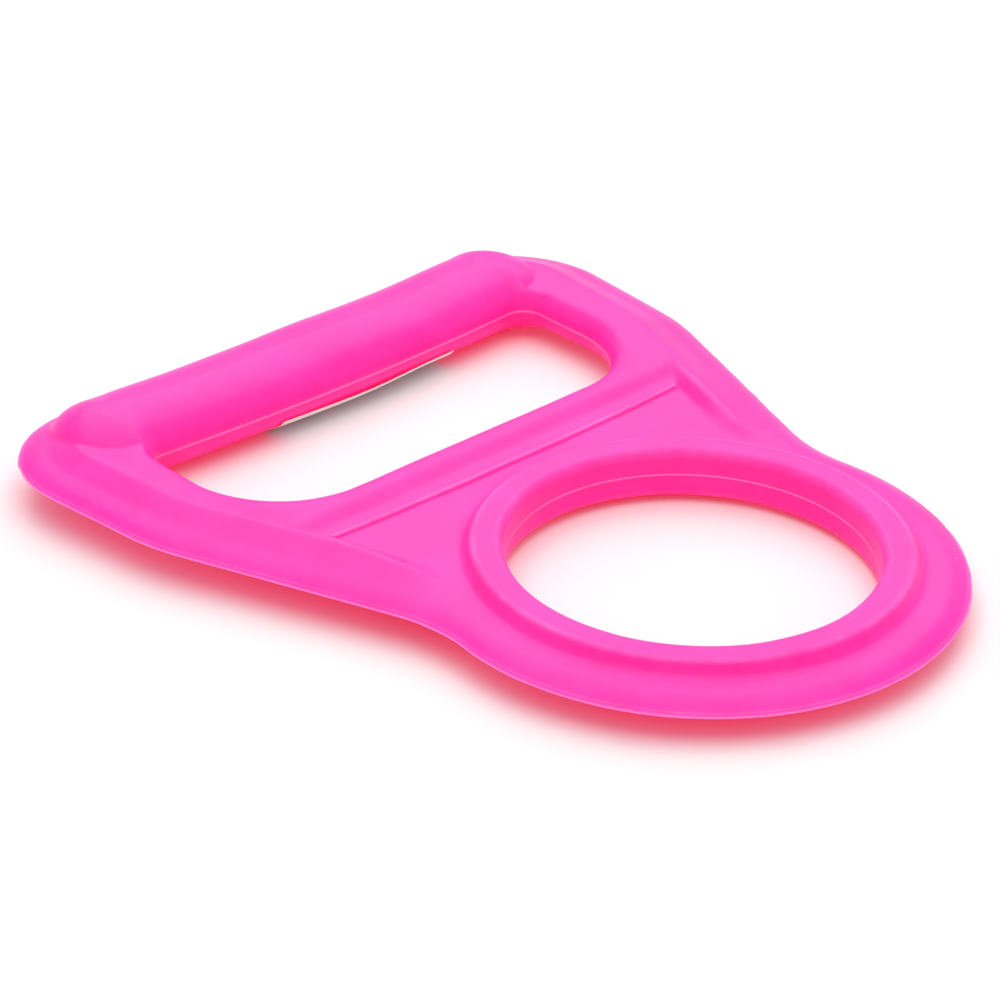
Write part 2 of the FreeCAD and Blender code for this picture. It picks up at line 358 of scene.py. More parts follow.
def grip_height(x, y):
    """Peak times dome(q), with q = (|v|^p + w^p)^(1/p): v runs across the bar from its line, w
    along it past the centre of the rounded end; the right end is a little shorter than the
    left.  Beyond q = 1 the surface runs on downwards.  A long shallow groove lies along the
    top, where the thick bar sank in cooling."""
    past = np.maximum(np.abs(x) - CROWN_END_X, 0.0)
    length = np.where(x < 0, END_LENGTH_LEFT, END_LENGTH_RIGHT)
    v = (y - grip_line(x)) / grip_width(x)
    q = (np.abs(v) ** END_SQUARE
         + (past / length) ** END_SQUARE) ** (1 / END_SQUARE)
    groove = GROOVE_DEPTH * np.exp(-((v - GROOVE_AT) / GROOVE_HALF) ** 2)
    groove = groove * (1 - ease((np.abs(x) - 26.0) / 10.0))
    return grip_peak(x) * dome(q) - groove - SKIRT_SLOPE * np.maximum(q - 1.0, 0.0)


def window_round(x, y, away):
    """Rounded mouth of the window, as the greatest height allowed at a distance from its edge:
    a quarter round of LIP_R along the arms and the cross bar, and the bar's own section
    along the grip."""
    arm = LIP_H * np.sqrt(1 - (1 - np.clip(away / LIP_R, 0, 1)) ** 2)
    width = grip_width(x)
    bar = grip_peak(x) * dome(1 - np.clip(away / width, 0, 1))
    bar = np.where(away >= width, FAR_ABOVE, bar)
    arm = np.where(away >= LIP_R, FAR_ABOVE, arm)
    return mix(arm, bar, ease((y - 72.5) / 5.0))


def height(x, y):
    """Half height of the whole moulding over a point of the parting plane: the frame plus the
    collar's rise, joined to the grip with a seam that widens towards the bar's ends, and cut
    back to the rounded mouth of the window."""
    side_x = np.abs(x)
    inset = gap(OUTLINE, side_x, y)
    away = gap(WINDOW, side_x, y)
    h = frame_height(side_x, y, inset)
    h = h + collar_rise(np.hypot(x, y) - BORE_R)
    seam = SEAM + END_SEAM * ease((side_x - END_FROM) / END_SEAM_RUN)
    h = larger(h, grip_height(x, y), seam)
    return np.minimum(h, window_round(x, y, away))


spots = {"crest of the grip": (0.0, CROWN_Y), "shelf": (0.0, 39.0), "arm": (44.0, 60.0)}
for spot, (spot_x, spot_y) in spots.items():
    print(f"half height at the {spot}: {height(np.array([spot_x]), np.array([spot_y]))[0]:.2f} mm")

# %% [markdown]
# ## Laying the grid
# A grid whose lines run along the features needs far fewer faces than one that cuts across
# them.  The half face is cut into seven patches: the turned collar, the panel, the cross bar,
# the rim beside the ring, the rim beside the panel, and an outer and an inner strip along the
# arm and the grip.  Neighbouring patches place their shared edges by the same formula, so that
# their points fall together exactly.

# %% Stations along the edges
PANEL_ROWS, BAR_ROWS, RIM_ROWS, STEP_ROWS = 26, 20, 26, 5
RING_STEPS, WAIST_STEPS, LOW_STEPS, ARM_STEPS, HIGH_STEPS, GRIP_STEPS = 92, 14, 40, 16, 52, 54
MOUTH_DEG = np.array([80, 70, 60, 50, 40, 31, 22.5, 15, 9, 4.5, 1.8, 0])
EDGE_INSETS = np.array([0.0, 0.05, 0.14, 0.28, 0.45, 0.75, 1.3])


def spaced(a, b, n):
    """n equal steps from a to b, both ends included."""
    return np.linspace(a, b, n + 1)


def inward(chain, s):
    """Points of the chain and the unit normals on their left."""
    p, t = along(chain, s)
    return p, np.stack([-t[:, 1], t[:, 0]], 1)


foot_deg = math.degrees(math.acos((FLANK_OFFSET - WALL_FOOT) / COLLAR_FOOT_R)) - FLANK_DEG
foot_q = COLLAR_FOOT_R * unit(foot_deg)
lean = math.radians(FLANK_DEG)
corner_x = PANEL_HALF
for _ in range(20):  # the side of the panel meets its bowed far edge here
    corner_x = (FLANK_OFFSET - WALL_FOOT + math.sin(lean) * panel_top(corner_x)) / math.cos(lean)
foot_k = np.array([corner_x, panel_top(corner_x)])

to_q = foot_q - waist_c
q_deg = math.degrees(math.atan2(to_q[1], to_q[0]))
s_ring = OUTLINE[0]["length"]
s_q = s_ring + WAIST_R * math.radians(waist_deg + 180 - (q_deg % 360))
s_flank = s_ring + OUTLINE[1]["length"]
s_k = s_flank + float(np.dot(foot_k - OUTLINE[2]["p"], np.array([math.sin(lean), math.cos(lean)])))
s_all = total(OUTLINE)
print(f"panel foot starts at {np.round(foot_q, 2)} and turns at {np.round(foot_k, 2)}")

low_c = np.array([WINDOW_X - WINDOW_R0, WINDOW_Y0 + WINDOW_R0])
k_deg = math.degrees(math.atan2(*(foot_k - low_c)[::-1]))
w_k = WINDOW[0]["length"] + WINDOW_R0 * math.radians(90 + k_deg)
w_side = WINDOW[0]["length"] + WINDOW[1]["length"]
w_high = w_side + WINDOW[2]["length"]
w_bow = w_high + WINDOW[3]["length"]
w_all = total(WINDOW)

# Lengths along the outline opposite the window's corners.
s_side = s_all - OUTLINE[6]["length"] - OUTLINE[5]["length"] - OUTLINE[4]["length"]
s_low = s_side + (low_c[1] - along(OUTLINE, np.array([s_side]))[0][0, 1]) / math.cos(
    math.radians(SIDE_DEG))
s_high = s_low + (high_c[1] - low_c[1]) / math.cos(math.radians(SIDE_DEG))
s_top = s_all - OUTLINE[6]["length"]

ring_s = np.concatenate([spaced(0, s_ring, RING_STEPS)[:-1], spaced(s_ring, s_q, WAIST_STEPS)])
flank_s = spaced(s_q, s_k, PANEL_ROWS)
runs = [(s_k, s_low, w_k, w_side, LOW_STEPS), (s_low, s_high, w_side, w_high, ARM_STEPS),
        (s_high, s_top, w_high, w_bow, HIGH_STEPS), (s_top, s_all, w_bow, w_all, GRIP_STEPS)]
arm_s = np.concatenate([spaced(a, b, n)[:-1] for a, b, _, _, n in runs] + [[s_all]])
arm_w = np.concatenate([spaced(a, b, n)[:-1] for _, _, a, b, n in runs] + [[w_all]])
print("stations: ring", len(ring_s), " flank", len(flank_s), " arm and grip", len(arm_s))

# %% [markdown]
# ## From edge to edge
# Each patch is a set of rows between two rails.  The rows stand close together wherever the
# real surface turns sharply, at the thin parting edge, the crisp step of the panel and the
# rounded lip of the window, and far apart on the flat web, so that the shine runs smoothly
# over every rounding without a needlessly heavy mesh.

# %% Rows across the patches
RIM_SKEW, STEP_RUN = 1.15, 0.6


def rows_between(a, b, shares):
    """Straight rows between two rails: a + share (b - a), as (rows, stations, 2)."""
    return a[None] + shares[:, None, None] * (b - a)[None]


def outer_rows(s, inner):
    """Rows from the outline inwards: first along its normals over the thin edge, then
    straight on to the inner rail."""
    p, n = inward(OUTLINE, s)
    edge = p[None] + EDGE_INSETS[:, None, None] * n[None]
    t = np.linspace(0, 1, RIM_ROWS + 1)[1:]
    return np.concatenate([edge, rows_between(edge[-1], inner, mix(t, t ** RIM_SKEW, 0.5))])


def bar_rows(rail, w):
    """Rows from a rail to the window: close together over the panel's crisp step, even up to
    the lip, then at LIP_R (1 - cos a) from the window's edge, dense where the lip is steep."""
    p, n = inward(WINDOW, w)
    away = -n
    lip = p + LIP_R * away
    span = lip - rail
    step = rail + span / np.hypot(*span.T)[:, None] * STEP_RUN
    a = np.radians(MOUTH_DEG)
    mouth = p[None] + (LIP_R * (1 - np.cos(a)))[:, None, None] * away[None]
    even = np.linspace(0, 1, BAR_ROWS - STEP_ROWS + 1)[1:]
    return np.concatenate([rows_between(rail, step, np.linspace(0, 1, STEP_ROWS + 1)),
                           rows_between(step, lip, even), mouth])


def mid_rail(s):
    """The rail between the two arm patches: the foot of the wall, WALL_FOOT in from the edge."""
    p, n = inward(OUTLINE, s)
    return p + WALL_FOOT * n


ring_deg = np.interp(ring_s, [0, s_ring, s_q], [-90, waist_deg + 3.5, foot_deg])
ring_foot = COLLAR_FOOT_R * np.stack([np.cos(np.radians(ring_deg)),
                                      np.sin(np.radians(ring_deg))], 1)
side_foot = foot_q + (foot_k - foot_q) * np.linspace(0, 1, PANEL_ROWS + 1)[:, None]
arm_mid = mid_rail(arm_s)
arm_mid[0] = foot_k

PANEL_COLUMNS = 50
column = np.linspace(0, 1, PANEL_COLUMNS + 1)
top_x = foot_k[0] * (1 - column)
panel_head = np.stack([top_x, panel_top(top_x)], 1)
panel_a = np.radians(mix(foot_deg, 90.0, column))
panel_base = COLLAR_FOOT_R * np.stack([np.cos(panel_a), np.sin(panel_a)], 1)

patches = {
    "ring rim": outer_rows(ring_s, ring_foot),
    "flank": outer_rows(flank_s, side_foot),
    "arm outer": outer_rows(arm_s, arm_mid),
    "arm inner": bar_rows(arm_mid, arm_w),
    "cross bar": bar_rows(panel_head, mix(w_k, 0.0, column)),
    "panel": rows_between(panel_base, panel_head, np.linspace(0, 1, PANEL_ROWS + 1)),
}
for name, grid in patches.items():
    print(f"{name:10s} {grid.shape[0]} rows x {grid.shape[1]} stations")

# %% [markdown]
# ## Small irregularities
# No moulding is perfect.  The thick bar sinks a little as it cools, the faces are faintly
# wavy, and where the halves of the mould meet a hair of plastic, the flash, stands out along
# the edge with small nicks in it.  All of these are real shape, so they go into the mesh.

# %% Waviness and flash
UNDERSIDE_PHASE, CALM_BELOW = 2.1, 0.9
FLASH, FLASH_LEAST, FLASH_MOST = 0.15, 0.02, 0.42
rng = np.random.default_rng(7)
WAVES = [(rng.uniform(-1, 1, 2) * 2 * math.pi / size, rng.uniform(0, 6.28), depth)
         for size, depth in ((31, .030), (23, .028), (17, .022), (13, .016), (9.5, .010),
                             (7.3, .008), (5.1, .005), (4.3, .004))]
NICKS = np.stack([rng.uniform(6, 2 * s_all - 6, 46), rng.uniform(0.7, 1.5, 46),
                  rng.uniform(-0.10, 0.12, 46)])


def waviness(x, y, phase):
    """Sum of long, shallow sine waves in different directions; the phase sets them apart on
    the two sides of the moulding."""
    return sum(depth * np.sin(k[0] * x + k[1] * y + start + phase * (i + 1))
               for i, (k, start, depth) in enumerate(WAVES))


def flash(s):
    """How far the fin stands out at arc length s: an even 0.15 mm, slow changes that close up
    after once round, and bell-shaped nicks and burrs."""
    turn = math.pi * s / s_all
    f = FLASH + 0.03 * np.sin(turn * 21 + 1) + 0.02 * np.sin(turn * 56)
    bells = np.exp(-((s[:, None] - NICKS[0]) / NICKS[1]) ** 2) * NICKS[2]
    return np.clip(f + bells.sum(1), FLASH_LEAST, FLASH_MOST)


round_it = flash(np.linspace(0, 2 * s_all, 4000))
print(f"flash stands out {round_it.min():.2f} to {round_it.max():.2f} mm")

# %% [markdown]
# ## From the patches to one closed skin
# Each patch of the +X half is mirrored to the -X half, then both get their height above the
# parting plane and, negated, below it.  Rows on the outline and on the window's edge lie on
# the plane itself, so the upper and lower faces share them.  Points that fall together are
# merged, which leaves one closed surface.

# %% Building the quads
BORE_FLASH = 0.08
EDGE_TIP_H, EDGE_BACK_H, EDGE_FOOT_H = 0.07, 0.10, 0.36


def quads(rows, columns, start, flip):
    """Corner numbers of the faces of a grid, in one step for the whole grid."""
    i = np.arange(rows * columns).reshape(rows, columns) + start
    f = np.stack([i[:-1, :-1], i[1:, :-1], i[1:, 1:], i[:-1, 1:]], -1).reshape(-1, 4)
    return f[:, ::-1] if flip else f


def add_grid(points, faces, xyz, flip):
    """Add the points of one grid and its faces to the lists."""
    start = sum(len(p) for p in points)
    points.append(xyz.reshape(-1, 3))
    faces.append(quads(xyz.shape[0], xyz.shape[1], start, flip))


def turned_collar():
    """Rows of the collar from the flash on the parting plane up the bore's wall, over the
    quarter round of its mouth and the flat top, and down to the foot, as (radius, height); the
    height is None where the height formula takes over."""
    wall = [(BORE_R - BORE_FLASH, 0.0), (BORE_R - 0.07, 0.08), (BORE_R, 0.16), (BORE_R, 0.5),
            (BORE_R, 1.1), (BORE_R, 1.8), (BORE_R, COLLAR_H - BORE_EDGE_R)]
    a = np.radians(np.linspace(0, 90, 9))[1:]
    mouth = [(BORE_R + BORE_EDGE_R * (1 - math.cos(t)),
              COLLAR_H - BORE_EDGE_R * (1 - math.sin(t))) for t in a]
    top = [(r, None) for r in (30.2, 30.8, 31.4, 31.7, 31.95, 32.2, 32.4, 32.6, 32.8, 33.0,
                               33.2, 33.4, 33.6, 33.8, 34.0, 34.2, 34.45, 34.75, 35.05,
                               COLLAR_FOOT_R)]
    return wall + mouth + top


def half_face(side, level):
    """All patches of one quarter: side is +1 or -1 along X, level +1 above, -1 below.  The
    first two rows of the rim stand out by the flash, and the waviness fades out where the
    half height falls to nothing."""
    points, faces = [], []
    flip = side * level < 0
    phase = 0.0 if level > 0 else UNDERSIDE_PHASE
    for name, grid in patches.items():
        x, y = grid[..., 0], grid[..., 1]
        h = height(side * x, y)
        px, py = x.copy(), y.copy()
        if name in ("ring rim", "flank", "arm outer"):
            s = {"ring rim": ring_s, "flank": flank_s, "arm outer": arm_s}[name]
            _, n = inward(OUTLINE, s)
            f = flash(s if side > 0 else 2 * s_all - s)
            px[0], py[0] = x[0] - n[:, 0] * f, y[0] - n[:, 1] * f
            px[1], py[1] = x[1] - n[:, 0] * f * 0.6, y[1] - n[:, 1] * f * 0.6
            h[0], h[1], h[2] = 0.0, EDGE_TIP_H, EDGE_BACK_H
            h[3] = np.minimum(h[3], EDGE_FOOT_H)
        if name in ("arm inner", "cross bar"):
            h[-1] = 0.0
        h = h + ease(h / CALM_BELOW) * waviness(side * x, y, phase)
        add_grid(points, faces, np.stack([side * px, py, level * h], -1), flip)
    a = np.radians(np.concatenate([ring_deg, np.degrees(panel_a)[1:]]))
    rows = []
    for r, z in turned_collar():
        x, y = r * np.cos(a), r * np.sin(a)
        h = height(side * x, y) if z is None else np.full(len(a), z)
        h = h + ease(h / CALM_BELOW) * waviness(side * x, y, phase)
        rows.append(np.stack([side * x, y, level * h], -1))
    add_grid(points, faces, np.array(rows), not flip)
    return points, faces


all_points, all_faces = [], []
for side_sign in (1, -1):
    for level_sign in (1, -1):
        pts, fcs = half_face(side_sign, level_sign)
        shift = sum(len(p) for p in all_points)
        all_points += pts
        all_faces += [f + shift for f in fcs]
all_points = np.concatenate(all_points)
all_faces = np.concatenate(all_faces)
print("before merging:", len(all_points), "points,", len(all_faces), "faces")

# %% [markdown]
# ## One closed skin
# The real handle comes out of its mould in one shot, so it is one skin with no seam but the
# flash.  Points of neighbouring patches that coincide become one, slivers between them
# vanish, and all faces are turned outwards.  A closed skin has two faces at every edge; the
# count of edges that break this rule is printed and should be nought.

# %% Merging and checking the skin
def make_piece(name, points_mm, faces, merge_mm=0.004):
    """A mesh object in metres at the origin, with coincident points merged, faces turned
    outwards and smooth shading; prints whether it is closed."""
    mesh = bpy.data.meshes.new(name)
    mesh.from_pydata((points_mm * MM).tolist(), [], faces.tolist())
    b = bmesh.new()
    b.from_mesh(mesh)
    bmesh.ops.remove_doubles(b, verts=b.verts, dist=merge_mm * MM)
    bmesh.ops.dissolve_degenerate(b, dist=0.001 * MM, edges=b.edges)
    bmesh.ops.recalc_face_normals(b, faces=b.faces)
    loose = sum(1 for e in b.edges if len(e.link_faces) != 2)
    volume = b.calc_volume(signed=True) / MM ** 3
    if volume < 0:
        bmesh.ops.reverse_faces(b, faces=b.faces)
    b.to_mesh(mesh)
    triangles = sum(len(f.verts) - 2 for f in b.faces)
    b.free()
    mesh.polygons.foreach_set("use_smooth", np.ones(len(mesh.polygons), bool))
    mesh.update()
    obj = bpy.data.objects.new(name, mesh)
    bpy.context.scene.collection.objects.link(obj)
    print(f"{name}: {triangles} triangles, volume {abs(volume):.1f} mm3, open edges {loose}")
    return obj


moulding = make_piece("handle_moulding_skin", all_points, all_faces)
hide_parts("handle_moulding")
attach(moulding, "root")

# %% [markdown]
# ## Painted glow on the thin edge, and where the plastic gets rubbed
# Two facts about each point are kept on the skin for the finish.  The parting edge is so thin
# that light passes straight through it; that paler look is painted into its colour as a painted
# glow.  Proud edges are the ones that other things rub against; they are found as the places
# where neighbouring normals spread apart.

# %% Painted glow on the thin edges, and rubbed places
THIN_REACH, THIN_HEIGHT, RUB_START, RUB_FULL = 0.22, 0.14, 0.10, 0.55
BORE_REACH_SHARE = 3


def vertex_array(mesh, field):
    """Positions or normals of all vertices, one row each."""
    values = np.empty(len(mesh.vertices) * 3)
    mesh.vertices.foreach_get(field, values)
    return values.reshape(-1, 3)


def keep_on_points(mesh, name, values):
    """Store one number per vertex for the materials to read."""
    mesh.attributes.new(name, "FLOAT", "POINT").data.foreach_set("value", values)


def spread(mesh, points):
    """Convexity in 1/mm: mean over a point's edges of (difference of normals . edge) divided
    by the edge's length squared."""
    normals = vertex_array(mesh, "normal")
    ends = np.empty(len(mesh.edges) * 2, int)
    mesh.edges.foreach_get("vertices", ends)
    i, j = ends.reshape(-1, 2).T
    d = points[j] - points[i]
    bend = ((normals[j] - normals[i]) * d).sum(1) / np.maximum((d ** 2).sum(1), 1e-6)
    sums = np.bincount(i, bend, len(points)) + np.bincount(j, bend, len(points))
    return sums / np.maximum(np.bincount(ends, minlength=len(points)), 1)


skin_points = vertex_array(moulding.data, "co") / MM
sx, sy, sz = skin_points.T
to_edge = np.minimum(gap(OUTLINE, np.abs(sx), sy), gap(WINDOW, np.abs(sx), sy))
to_bore_edge = np.abs(np.hypot(sx, sy) - BORE_R + BORE_FLASH) * BORE_REACH_SHARE
to_edge = np.minimum(to_edge, to_bore_edge)
# painted glow: points on the thin parting edges are marked to be painted paler, as if lit through
thin = np.exp(-(to_edge / THIN_REACH) ** 2 - (sz / THIN_HEIGHT) ** 2)
rub = ease((spread(moulding.data, skin_points) - RUB_START) / (RUB_FULL - RUB_START))
keep_on_points(moulding.data, "thin", thin)
keep_on_points(moulding.data, "rub", rub * (1 - thin))
print(f"thin points {np.mean(thin > 0.5):.1%}, rubbed points {np.mean(rub > 0.5):.1%}")

# %% [markdown]
# ## The paper sticker
# A strip of coated paper is wrapped round the belly of the grip.  It is a thin closed shell
# that follows the bar's own section a hair's breadth outside it.  Paper does not like to bend
# both ways at once, so its front edge has come loose and stands off a little, unevenly.

# %% Sticker
LABEL_X, LABEL_TURN = (-13.0, 24.0), (22.0, 141.0)
LABEL_T, LABEL_GAP, LABEL_LIFT = 0.12, 0.05, 0.42
LABEL_COLUMNS, LABEL_ROWS = 110, 60
LOOSE_FROM, LOOSE_RUN, LOOSE_ENDS = math.radians(52.0), math.radians(30.0), 0.35
RIPPLE = 0.03


def belly(x, t):
    """Lower surface of the bar: y = line - width cos t, z = minus the bar's height there, with
    t running from the window's side round the belly to the back."""
    y = grip_line(x) - grip_width(x) * np.cos(t)
    z = -(grip_height(x, y) + waviness(x, y, UNDERSIDE_PHASE))
    return np.stack([x, y, z], -1)


def shell_faces(columns, rows):
    """Faces of a closed thin shell: an outer grid, the same grid inside it, and four strips
    round the rim."""
    count = (columns + 1) * (rows + 1)
    n = np.arange(count).reshape(columns + 1, rows + 1)
    outer = quads(columns + 1, rows + 1, 0, False)
    inner = quads(columns + 1, rows + 1, count, True)
    rim = np.concatenate([n[:, 0], n[-1, 1:], n[-2::-1, -1], n[0, -2:0:-1]])
    after = np.roll(rim, -1)
    return np.concatenate([outer, inner, np.stack([rim, after, after + count, rim + count], -1)])


label_u, label_t = np.meshgrid(np.linspace(*LABEL_X, LABEL_COLUMNS + 1),
                               np.radians(np.linspace(*LABEL_TURN, LABEL_ROWS + 1)), indexing="ij")
skin = belly(label_u, label_t)
out = np.cross(np.gradient(skin, axis=0), np.gradient(skin, axis=1))
out /= np.linalg.norm(out, axis=-1, keepdims=True)
out *= -np.sign(out[LABEL_COLUMNS // 2, LABEL_ROWS // 2, 2])
loose = ease((LOOSE_FROM - label_t) / LOOSE_RUN)
length = LABEL_X[1] - LABEL_X[0]
bulge = np.sin((label_u - LABEL_X[0]) / length * math.pi) ** 2
loose = loose * (LOOSE_ENDS + (1 - LOOSE_ENDS) * bulge)
ripple = RIPPLE * np.sin(label_u * 0.9) * np.sin(label_t * 5.0)
off = (LABEL_GAP + LABEL_LIFT * loose + np.abs(ripple))[..., None]
label_points = np.concatenate([(skin + out * (off + LABEL_T)).reshape(-1, 3),
                               (skin + out * off).reshape(-1, 3)])
label = make_piece("grip_label_paper", label_points, shell_faces(LABEL_COLUMNS, LABEL_ROWS),
                   merge_mm=0.0005)
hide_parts("grip_label")
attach(label, "root")

# %% [markdown]
# ## The camera
# A long lens from some way off keeps the ring and the grip in true proportion.  The camera
# stands off the ring's end, some forty-five degrees round to the left, about thirty degrees
# above the table, and is rolled by one and a half degrees.

# %% Camera
CAMERA_AZIMUTH, CAMERA_ELEVATION, CAMERA_ROLL = -44.34, 29.53, 1.49
CAMERA_TARGET = (-3.24, 37.15, -3.44)
CAMERA_DISTANCE, CAMERA_LENS, SENSOR_WIDTH = 544.9, 128.5, 36.0
CLIP_NEAR, CLIP_FAR = 0.05, 20.0

az, el, roll = (math.radians(v) for v in (CAMERA_AZIMUTH, CAMERA_ELEVATION, CAMERA_ROLL))
back = Vector((math.sin(az) * math.cos(el), -math.cos(az) * math.cos(el), math.sin(el)))
right = (-back).cross(Vector((0, 0, 1))).normalized()
up = right.cross(-back)
right, up = (right * math.cos(roll) + up * math.sin(roll),
             up * math.cos(roll) - right * math.sin(roll))
camera_data = bpy.data.cameras.new("camera")
camera_data.lens, camera_data.sensor_width = CAMERA_LENS, SENSOR_WIDTH
camera_data.clip_start, camera_data.clip_end = CLIP_NEAR, CLIP_FAR
camera = bpy.data.objects.new("camera", camera_data)
camera.matrix_world = Matrix.Translation(
    (Vector(CAMERA_TARGET) + back * CAMERA_DISTANCE) * MM) @ Matrix(
    (right, up, back)).transposed().to_4x4()
bpy.context.scene.collection.objects.link(camera)
bpy.context.scene.camera = camera
print("camera at", [round(v, 3) for v in camera.location])

# %% [markdown]
# ## The floor
# The grip is thicker than the collar, so a handle laid down rests on the ends of its grip and
# on the part of its collar farthest from the grip, and the surface under it is tilted by about
# one degree against the parting plane.  The waviness thickens the collar a little there, and
# the grip's ends stop a little short of its full height.

# %% Floor
COLLAR_EXTRA, GRIP_SHORT, CLEARANCE = 0.08, 0.17, 0.02
COLLAR_LOW = (-30.0, -(COLLAR_H + COLLAR_EXTRA))
GRIP_LOW = (CROWN_Y + 0.6, -(CROWN_H - GRIP_SHORT))
floor_slope = (GRIP_LOW[1] - COLLAR_LOW[1]) / (GRIP_LOW[0] - COLLAR_LOW[0])


def floor_z(y):
    """Height of the plane through both supports, a hair lower so that nothing cuts into it."""
    return COLLAR_LOW[1] + floor_slope * (y - COLLAR_LOW[0]) - CLEARANCE


FLOOR_HALF, FLOOR_POINTS = 2500.0, 21
floor_line = np.linspace(-FLOOR_HALF, FLOOR_HALF, FLOOR_POINTS)
grid_x, grid_y = np.meshgrid(floor_line, floor_line, indexing="ij")
floor_mesh = bpy.data.meshes.new("floor")
floor_mesh.from_pydata(
    (np.stack([grid_x, grid_y, floor_z(grid_y)], -1).reshape(-1, 3) * MM).tolist(), [],
    quads(FLOOR_POINTS, FLOOR_POINTS, 0, False).tolist())
floor = bpy.data.objects.new("floor", floor_mesh)
bpy.context.scene.collection.objects.link(floor)
print(f"floor slope {math.degrees(math.atan(floor_slope)):.2f} degrees")

# %% [markdown]
# ## Light
# A white sky gives even, shadowless light.  Two large soft lamps, one overhead and one high
# behind the handle as the camera sees it, make the faces that look up and away paler than
# those that look at the camera.

# %% Sky and lamps
SKY_STRENGTH = 0.68
world = bpy.data.worlds.new("sky")
bpy.context.scene.world = world
world.use_nodes = True
world.node_tree.nodes["Background"].inputs["Color"].default_value = (1, 1, 1, 1)
world.node_tree.nodes["Background"].inputs["Strength"].default_value = SKY_STRENGTH


def soft_lamp(name, place, aim, size, power):
    """A rectangular lamp at a place, turned to face the aim; metres and watts."""
    data = bpy.data.lights.new(name, "AREA")
    data.shape, data.size, data.size_y, data.energy = "RECTANGLE", size[0], size[1], power
    lamp = bpy.data.objects.new(name, data)
    lamp.matrix_world = Matrix.Translation(place) @ (
        Vector(aim) - Vector(place)).to_track_quat("-Z", "Y").to_matrix().to_4x4()
    bpy.context.scene.collection.objects.link(lamp)


soft_lamp("back softbox", (0.50, 0.55, 0.80), (0, 0.04, 0), (1.1, 0.9), 6.0)
soft_lamp("top softbox", (-0.10, -0.05, 1.10), (0, 0.04, 0), (1.2, 1.2), 7.5)
bpy.context.scene.view_settings.view_transform = "Standard"

# %% [markdown]
# ## Shared effects
# Each effect that more than one finish uses is a node group with named sockets.  All of them
# read positions in metres, so their scales are counted per metre: 4000 gives a grain of a
# quarter of a millimetre, 110 gives patches of about nine millimetres.

# %% A small kit for building node trees
def new_group(name, inputs, outputs):
    """A shader node group with float (or vector) inputs and float outputs."""
    g = bpy.data.node_groups.new(name, "ShaderNodeTree")
    for socket, value in inputs.items():
        kind = "NodeSocketVector" if value is None else "NodeSocketFloat"
        item = g.interface.new_socket(name=socket, in_out="INPUT", socket_type=kind)
        if value is not None:
            item.default_value = value
    for socket in outputs:
        g.interface.new_socket(name=socket, in_out="OUTPUT", socket_type="NodeSocketFloat")
    return g, g.nodes.new("NodeGroupInput"), g.nodes.new("NodeGroupOutput")


def put(tree, kind, settings=None, **values):
    """Add a node; settings are its properties, values are its input sockets by name."""
    node = tree.nodes.new(kind)
    for key, value in (settings or {}).items():
        setattr(node, key, value)
    for key, value in values.items():
        socket = node.inputs[key.replace("_", " ")]
        if isinstance(value, bpy.types.NodeSocket):
            tree.links.new(value, socket)
        else:
            socket.default_value = value
    return node


def maths(tree, operation, a, b=0.0):
    """A Math node; a and b are sockets or numbers."""
    node = tree.nodes.new("ShaderNodeMath")
    node.operation = operation
    for socket, value in zip(node.inputs, (a, b)):
        if isinstance(value, bpy.types.NodeSocket):
            tree.links.new(value, socket)
        else:
            socket.default_value = value
    return node.outputs[0]


def between(tree, value, low, high):
    """0 below low, 1 above high, straight in between."""
    node = put(tree, "ShaderNodeMapRange", {"clamp": True}, Value=value, From_Min=low,
               From_Max=high)
    return node.outputs["Result"]


print("tools for node trees:", [f.__name__ for f in (new_group, put, maths, between)])

# %% [markdown]
# ## Mottle and grain
# Pigment is never stirred in perfectly evenly, so the colour drifts over a centimetre or so:
# two noises of different size, added.  The mould's own surface is finely ground, which leaves
# a grain that shows only as a slight softness in the reflections.

# %% Mottle and grain groups
mottle, into, out_of = new_group("mottle", {"Position": None, "Scale": 110.0}, ["Mask"])
coarse = put(mottle, "ShaderNodeTexNoise", Vector=into.outputs["Position"],
             Scale=into.outputs["Scale"], Detail=3.0, Roughness=0.55)
fine = put(mottle, "ShaderNodeTexNoise", Vector=into.outputs["Position"],
           Scale=maths(mottle, "MULTIPLY", into.outputs["Scale"], 6.5), Detail=2.0)
both = maths(mottle, "ADD", maths(mottle, "MULTIPLY", coarse.outputs["Fac"], 0.75),
             maths(mottle, "MULTIPLY", fine.outputs["Fac"], 0.25))
mottle.links.new(between(mottle, both, 0.32, 0.68), out_of.inputs["Mask"])

grain, into, out_of = new_group("grain", {"Position": None, "Scale": 4000.0}, ["Height"])
rough_noise = put(grain, "ShaderNodeTexNoise", Vector=into.outputs["Position"],
                  Scale=into.outputs["Scale"], Detail=2.0, Roughness=0.6)
waves_noise = put(grain, "ShaderNodeTexNoise", Vector=into.outputs["Position"],
                  Scale=maths(grain, "MULTIPLY", into.outputs["Scale"], 0.12), Detail=1.0)
grain.links.new(maths(grain, "ADD", maths(grain, "MULTIPLY", rough_noise.outputs["Fac"], 0.3),
                      waves_noise.outputs["Fac"]), out_of.inputs["Height"])
print("groups:", mottle.name, grain.name)

# %% [markdown]
# ## Specks and hairlines
# A few grains of dust and unmelted plastic show as tiny pale dots: the cells of a Voronoi
# pattern give one dot each, and only the few cells that draw a low number keep theirs.
# Handling leaves hairline scratches: noise drawn out more than fiftyfold along one direction,
# and cut off so that only its thin crests remain, in patches.

